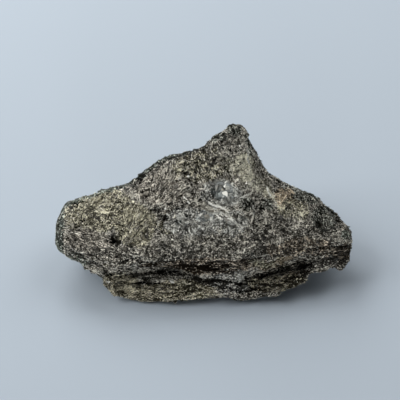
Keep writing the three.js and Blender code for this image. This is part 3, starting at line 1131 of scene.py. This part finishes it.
def mineral_group():
    """The mineral's colour at a tone from 0 to 1.

    Its lightness grows by equal ratios from the darkest at tone 0 to the brightest at tone 1.
    Dark tones take a deeper shade of the tint, a power of it. Fine grit, noise on the piece's
    own coordinates, moves the tone up and down.
    """
    tree = bpy.data.node_groups.new("mineral colour", "ShaderNodeTree")
    socket = tree.interface.new_socket
    socket("Tone", in_out="INPUT", socket_type="NodeSocketFloat")
    socket("Tint", in_out="INPUT", socket_type="NodeSocketColor")
    socket("Grit size", in_out="INPUT", socket_type="NodeSocketFloat")
    socket("Grit strength", in_out="INPUT", socket_type="NodeSocketFloat")
    socket("Colour", in_out="OUTPUT", socket_type="NodeSocketColor")
    socket("Tone", in_out="OUTPUT", socket_type="NodeSocketFloat")
    link = tree.links.new
    given = add_node(tree, "NodeGroupInput", (0, 0))
    place = add_node(tree, "ShaderNodeTexCoord", (0, 2))
    grit = add_node(tree, "ShaderNodeTexNoise", (1, 2))
    grit.inputs["Detail"].default_value = GRIT_DETAIL
    centred = add_node(tree, "ShaderNodeMath", (2, 2), operation="SUBTRACT")
    centred.inputs[1].default_value = 0.5
    moved = add_node(tree, "ShaderNodeMath", (3, 1), operation="MULTIPLY_ADD", use_clamp=True)
    ratio = add_node(tree, "ShaderNodeMath", (4, 1), operation="POWER")
    ratio.inputs[0].default_value = BRIGHTEST / DARKEST
    value = add_node(tree, "ShaderNodeMath", (5, 1), operation="MULTIPLY")
    value.inputs[1].default_value = DARKEST
    deep = add_node(tree, "ShaderNodeGamma", (4, 3))
    deep.inputs["Gamma"].default_value = DEEPENING
    shade = add_node(tree, "ShaderNodeMix", (5, 3), data_type="RGBA")
    scaled = add_node(tree, "ShaderNodeVectorMath", (6, 1), operation="SCALE")
    result = add_node(tree, "NodeGroupOutput", (7, 0))
    link(place.outputs["Object"], grit.inputs["Vector"])
    link(given.outputs["Grit size"], grit.inputs["Scale"])
    link(grit.outputs["Fac"], centred.inputs[0])
    link(centred.outputs["Value"], moved.inputs[0])
    link(given.outputs["Grit strength"], moved.inputs[1])
    link(given.outputs["Tone"], moved.inputs[2])
    link(moved.outputs["Value"], ratio.inputs[1])
    link(ratio.outputs["Value"], value.inputs[0])
    link(given.outputs["Tint"], deep.inputs["Color"])
    link(moved.outputs["Value"], shade.inputs["Factor"])
    link(deep.outputs["Color"], shade.inputs["A"])
    link(given.outputs["Tint"], shade.inputs["B"])
    link(shade.outputs["Result"], scaled.inputs[0])
    link(value.outputs["Value"], scaled.inputs["Scale"])
    link(scaled.outputs["Vector"], result.inputs["Colour"])
    link(moved.outputs["Value"], result.inputs["Tone"])


def stone_material(finish):
    """Stone whose vertices hold its tone and tint, made once for each finish. Its bright tones
    are glossier, and its grit is also a fine bump. The shine is the strength of its highlights.
    """
    if finish in bpy.data.materials:
        return bpy.data.materials[finish]
    grit_size, grit_strength, roughness, shine = FINISHES[finish]
    material = bpy.data.materials.new(finish)
    material.use_nodes = True
    tree = material.node_tree
    shader = tree.nodes["Principled BSDF"]
    shader.inputs["Specular IOR Level"].default_value = shine
    link = tree.links.new
    tone = add_node(tree, "ShaderNodeAttribute", (-4, 0), attribute_name="tone")
    tint = add_node(tree, "ShaderNodeAttribute", (-4, 1), attribute_name="tint")
    mineral = add_node(tree, "ShaderNodeGroup", (-3, 0))
    mineral.node_tree = bpy.data.node_groups["mineral colour"]
    mineral.inputs["Grit size"].default_value = grit_size
    mineral.inputs["Grit strength"].default_value = grit_strength
    gloss = add_node(tree, "ShaderNodeMapRange", (-2, 1))
    gloss.inputs["To Min"].default_value = roughness[0]
    gloss.inputs["To Max"].default_value = roughness[1]
    bump = add_node(tree, "ShaderNodeBump", (-2, 3))
    bump.inputs["Distance"].default_value = BUMP_HEIGHT
    bump.inputs["Strength"].default_value = BUMP_STRENGTH
    link(tone.outputs["Fac"], mineral.inputs["Tone"])
    link(tint.outputs["Color"], mineral.inputs["Tint"])
    link(mineral.outputs["Colour"], shader.inputs["Base Color"])
    link(mineral.outputs["Tone"], gloss.inputs["Value"])
    link(gloss.outputs["Result"], shader.inputs["Roughness"])
    link(mineral.outputs["Tone"], bump.inputs["Height"])
    link(bump.outputs["Normal"], shader.inputs["Normal"])
    return material


# ---------------------------------------------------------------------------------------------
# Settings, operators and panel
# ---------------------------------------------------------------------------------------------


def color_property(name, description, default):
    """A colour that a user can change."""
    return FloatVectorProperty(
        name=name,
        description=description,
        default=default,
        subtype="COLOR",
        size=3,
        min=0.0,
        max=1.0,
    )


class RockSettings(bpy.types.PropertyGroup):
    """Sizes of the rock body and its needles."""

    coarseness: FloatProperty(
        name="Coarseness",
        description="Strength of the layers, facets and grit, where 1 is the real rock",
        default=1.0,
        min=0.0,
        max=2.0,
        subtype="FACTOR",
    )
    needle_length: FloatProperty(
        name="Needle length",
        description="Usual length of the needle crystals",
        default=0.85 * MM,
        min=0.3 * MM,
        max=3.0 * MM,
        precision=5,
        unit="LENGTH",
    )
    needle_width: FloatProperty(
        name="Needle width",
        description="Usual width of the needle crystals",
        default=0.50 * MM,
        min=0.1 * MM,
        max=1.0 * MM,
        precision=5,
        unit="LENGTH",
    )
    density: FloatProperty(
        name="Needle density",
        description="Share of the full number of needles",
        default=1.0,
        min=0.05,
        max=1.0,
        subtype="FACTOR",
    )


class MineralColors(bpy.types.PropertyGroup):
    """Tints of the mineral in its lightest tones."""

    grey: color_property("Grey", "Tint of most of the rock", (1.0, 0.975, 0.87))
    olive: color_property("Olive", "Tint of the olive patches", (1.0, 0.965, 0.75))
    silver: color_property("Silver", "Tint of the silvery patches", (0.99, 1.0, 0.94))
    beige: color_property("Beige", "Tint of the pale patches", (1.0, 0.98, 0.82))
    rust: color_property("Rust", "Tint of the rusty stains", (1.0, 0.87, 0.66))
    slate: color_property("Slate", "Tint of the dark patches", (0.95, 0.98, 0.88))
    brown: color_property("Brown", "Tint of the shaded layers in front", (1.0, 0.89, 0.72))
    rind: color_property("Rind", "Tint of the weathered back and rims", (0.90, 0.98, 0.88))
    khaki: color_property("Khaki", "Tint of the ledge in front", (1.0, 0.95, 0.75))
    mauve: color_property("Mauve", "Tint of the pinkish grey patches", (1.0, 0.955, 0.84))
    plate: color_property("Plate", "Tint of the smooth bluish plates", (0.94, 1.0, 0.99))

    def palettes(self):
        """All the tints by name, with the one that most of the rock has first."""
        return {name: np.array(getattr(self, name)) for name in TRAITS}


class StageSettings(bpy.types.PropertyGroup):
    """Floor, light and camera."""

    floor_color: color_property(
        "Floor colour", "Colour of the seamless paper under the rock", (0.465, 0.54, 0.625)
    )
    elevation: FloatProperty(
        name="Camera elevation",
        description="Angle of the camera above level",
        default=math.radians(44.0),
        subtype="ANGLE",
    )
    lens: FloatProperty(
        name="Lens",
        description="Focal length of the camera, in millimetres",
        default=120.0,
        subtype="DISTANCE_CAMERA",
    )


class NUUMMITE_OT_body(bpy.types.Operator):
    """Build the rock's body as one fine closed skin"""

    bl_idname = "nuummite.body"
    bl_label = "Rock body"

    def execute(self, context):
        skin = rock_surface(context.scene.nuummite_rock.coarseness)
        piece = skin_object("rock_body", skin.points, stone_material("rock body"))
        points = skin_vertices(skin.points)
        # The two end points are weathered, and neither high nor bare.
        weathered = np.append(skin.weathered[1:-1].ravel(), (1.0, 1.0))
        height = np.append(skin.height[1:-1].ravel(), (0.0, 0.0))
        bare = np.append(skin.bare[1:-1].ravel(), (0.0, 0.0))
        rng = np.random.default_rng(BODY_SEED)
        colors = context.scene.nuummite_colors.palettes()
        palette, lift = palettes_at(points, weathered, list(colors), rng)
        tones = np.array([TRAITS[color][2] for color in colors])[palette] + lift
        spots = SKIN_SPOT_TONE * noise(points / SKIN_SPOT_SIZE, 95)
        # Painted shade in hollows and in bare clefts, cracks and pits, and painted light on what
        # stands proud.
        tones += spots + painted_relief_shade(height) - BARE_CLEFT_SHADE * bare
        # Broad places of the stone's own tone and of painted light and shade.
        tones += painted_light_and_tone_at(points)
        set_attributes(piece, tones, np.array(list(colors.values()))[palette])
        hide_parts("nuummite")
        return {"FINISHED"}


class NUUMMITE_OT_needles(bpy.types.Operator):
    """Lay the needle crystals on the rock"""

    bl_idname = "nuummite.needles"
    bl_label = "Needle crystals"

    def execute(self, context):
        rock = context.scene.nuummite_rock
        colors = context.scene.nuummite_colors.palettes()
        skin = rock_surface(rock.coarseness)
        length, width = rock.needle_length / MM, rock.needle_width / MM
        brightness = sprays_at(skin.points, skin.normals)[2]
        for name, columns, seed, usual in COATS:
            coat = replace(
                usual,
                count=round(usual.count * rock.density),
                length=usual.length * length,
                width=usual.width * width,
            )
            weight = brightness if coat.only_sprays else 1.0
            needle_coat(name, skin, columns, coat, colors, seed, weight)
        return {"FINISHED"}


class NUUMMITE_OT_flakes(bpy.types.Operator):
    """Lay the flat cleavage flakes on the rock"""

    bl_idname = "nuummite.flakes"
    bl_label = "Cleavage flakes"

    def execute(self, context):
        colors = context.scene.nuummite_colors.palettes()
        skin = rock_surface(context.scene.nuummite_rock.coarseness)
        for number, (middle, radius, count, length, width, tone) in enumerate(FLAKES):
            way = skin.points - middle
            off = (way * skin.broad_normals).sum(axis=-1, keepdims=True)
            gap = np.linalg.norm(way - off * skin.broad_normals, axis=-1)
            weight = bell(gap, radius, 4) * (np.abs(off[..., 0]) < FLAKE_DEPTH)
            coat = replace(FLAT_COAT, count=count, length=length, width=width, tone=tone)
            seed = FLAKES_SEED + number
            needle_coat(f"flakes_{number}", skin, UPPER, coat, colors, seed, weight)
        return {"FINISHED"}


class NUUMMITE_OT_bright(bpy.types.Operator):
    """Lay the brightest crystals, white as a painted highlight, on top of the others"""

    bl_idname = "nuummite.bright"
    bl_label = "Bright crystals"

    def execute(self, context):
        colors = context.scene.nuummite_colors.palettes()
        skin = rock_surface(context.scene.nuummite_rock.coarseness)
        rng = np.random.default_rng(BRIGHT_SEED)
        rows = [np.array(row[:2]) for row in PAINTED_GLINT_ROWS]
        counts, lengths, widths, tones = np.array([row[2:] for row in PAINTED_GLINT_ROWS]).T
        owner = np.repeat(np.arange(len(rows)), counts.astype(int))
        starts, ends = np.array(rows)[owner].swapaxes(0, 1)
        share = rng.random((len(owner), 1))
        places, normals = nearest_on_skin(skin, starts + share * (ends - starts))
        stray = BRIGHT_STRAY * rng.standard_normal(len(owner))
        directions = turned(flatten(ends - starts, normals), normals, stray)
        length = lengths[owner] * rng.uniform(*BRIGHT_LENGTHS, len(owner))
        width = widths[owner] * rng.uniform(*BRIGHT_WIDTHS, len(owner))
        sizes = (length, width, BRIGHT_THICKNESS * width)
        corners = slivers(places + BRIGHT_LIFT * normals, directions, normals, sizes, rng)
        tints = np.repeat(colors["silver"][None, :], len(owner), axis=0)
        material = stone_material("amphibole cleavage")
        slivers_object("bright_crystals", corners, tones[owner], tints, material)
        return {"FINISHED"}


class NUUMMITE_OT_stage(bpy.types.Operator):
    """Lay the floor, hang the lights and set up the camera"""

    bl_idname = "nuummite.stage"
    bl_label = "Stage"

    def execute(self, context):
        settings = context.scene.nuummite_stage
        build_floor(settings.floor_color)
        build_world()
        for light in LIGHTS:
            add_softbox(*light)
        context.scene.view_settings.view_transform = "Standard"
        build_camera(settings.elevation, settings.lens)
        return {"FINISHED"}


# Half the floor's side, in metres, and the finish of its paper.
FLOOR_HALF = 2.0
PAPER_ROUGHNESS, PAPER_SHINE = 0.9, 0.2

# Soft lights a metre from the rock: name, angle counted from the right, angle above level, side
# in metres and power in watts.
LIGHTS = (
    ("left", 172.0, 36.0, 0.8, 8.4),
    ("back", 112.0, 38.0, 0.6, 6.0),
    ("right", 40.0, 46.0, 0.8, 3.5),
    ("fill", 270.0, 5.0, 0.2, 3.0),
)
LIGHT_COLOR = (1.0, 0.98, 0.95)
AIR_COLOR = (0.96, 0.98, 1.0, 1.0)
AIR_STRENGTH = 0.04

# What the camera looks at and how wide it sees there, in metres, and its sensor in millimetres.
TARGET = (-0.0013, 0.0, 0.0259)
VIEW_WIDTH = 0.1368
SENSOR_WIDTH = 36.0


def build_floor(color):
    """A matt square of paper at ground level."""
    half = FLOOR_HALF
    corners = [(-half, -half, 0.0), (half, -half, 0.0), (half, half, 0.0), (-half, half, 0.0)]
    mesh = bpy.data.meshes.new("floor")
    mesh.from_pydata(corners, [], [(0, 1, 2, 3)])
    material = bpy.data.materials.new("floor paper")
    material.use_nodes = True
    shader = material.node_tree.nodes["Principled BSDF"]
    shader.inputs["Base Color"].default_value = (*color, 1.0)
    shader.inputs["Roughness"].default_value = PAPER_ROUGHNESS
    shader.inputs["Specular IOR Level"].default_value = PAPER_SHINE
    mesh.materials.append(material)
    floor = bpy.data.objects.new("floor", mesh)
    bpy.context.scene.collection.objects.link(floor)


def build_world():
    """Faint even light from all sides."""
    world = bpy.data.worlds.new("studio")
    world.use_nodes = True
    background = world.node_tree.nodes["Background"]
    background.inputs["Color"].default_value = AIR_COLOR
    background.inputs["Strength"].default_value = AIR_STRENGTH
    bpy.context.scene.world = world


def add_softbox(name, turn, height, size, energy):
    """Hangs a square soft light one metre from the rock, facing it: at the angle it is turned to,
    counted from the right, and the angle that it is above level."""
    light = bpy.data.lights.new(name, "AREA")
    light.shape = "SQUARE"
    light.size = size
    light.energy = energy
    light.color = LIGHT_COLOR
    lamp = bpy.data.objects.new(name, light)
    level, up = math.radians(turn), math.radians(height)
    flat = math.cos(up)
    lamp.location = (flat * math.cos(level), flat * math.sin(level), math.sin(up))
    lamp.rotation_euler = Vector(lamp.location).to_track_quat("Z", "Y").to_euler()
    bpy.context.scene.collection.objects.link(lamp)


def build_camera(elevation, lens):
    """A camera in front of the rock, at an angle above level. It is as far from its target as
    the lens needs to see the wanted width there."""
    camera_data = bpy.data.cameras.new("camera")
    camera_data.lens = lens
    camera_data.sensor_width = SENSOR_WIDTH
    camera = bpy.data.objects.new("camera", camera_data)
    distance = VIEW_WIDTH / 2.0 / math.tan(camera_data.angle / 2.0)
    back = Vector((0.0, -math.cos(elevation), math.sin(elevation)))
    camera.location = Vector(TARGET) + back * distance
    camera.rotation_euler = (-back).to_track_quat("-Z", "Y").to_euler()
    bpy.context.scene.collection.objects.link(camera)
    bpy.context.scene.camera = camera


class NUUMMITE_PT_panel(bpy.types.Panel):
    """Lists the steps that build the specimen"""

    bl_idname = "NUUMMITE_PT_panel"
    bl_label = "Nuummite specimen"
    bl_space_type = "VIEW_3D"
    bl_region_type = "UI"
    bl_category = "Nuummite"

    def draw(self, context):
        for step in STEPS:
            self.layout.operator(step.bl_idname)


STEPS = (
    NUUMMITE_OT_body,
    NUUMMITE_OT_needles,
    NUUMMITE_OT_flakes,
    NUUMMITE_OT_bright,
    NUUMMITE_OT_stage,
)
CLASSES = (RockSettings, MineralColors, StageSettings, *STEPS, NUUMMITE_PT_panel)


def register():
    for cls in CLASSES:
        bpy.utils.register_class(cls)
    bpy.types.Scene.nuummite_rock = PointerProperty(type=RockSettings)
    bpy.types.Scene.nuummite_colors = PointerProperty(type=MineralColors)
    bpy.types.Scene.nuummite_stage = PointerProperty(type=StageSettings)


def unregister():
    del bpy.types.Scene.nuummite_stage
    del bpy.types.Scene.nuummite_colors
    del bpy.types.Scene.nuummite_rock
    for cls in reversed(CLASSES):
        bpy.utils.unregister_class(cls)


def main():
    register()
    mineral_group()
    bpy.ops.nuummite.body()
    bpy.ops.nuummite.needles()
    bpy.ops.nuummite.flakes()
    bpy.ops.nuummite.bright()
    bpy.ops.nuummite.stage()


if __name__ == "__main__":
    main()
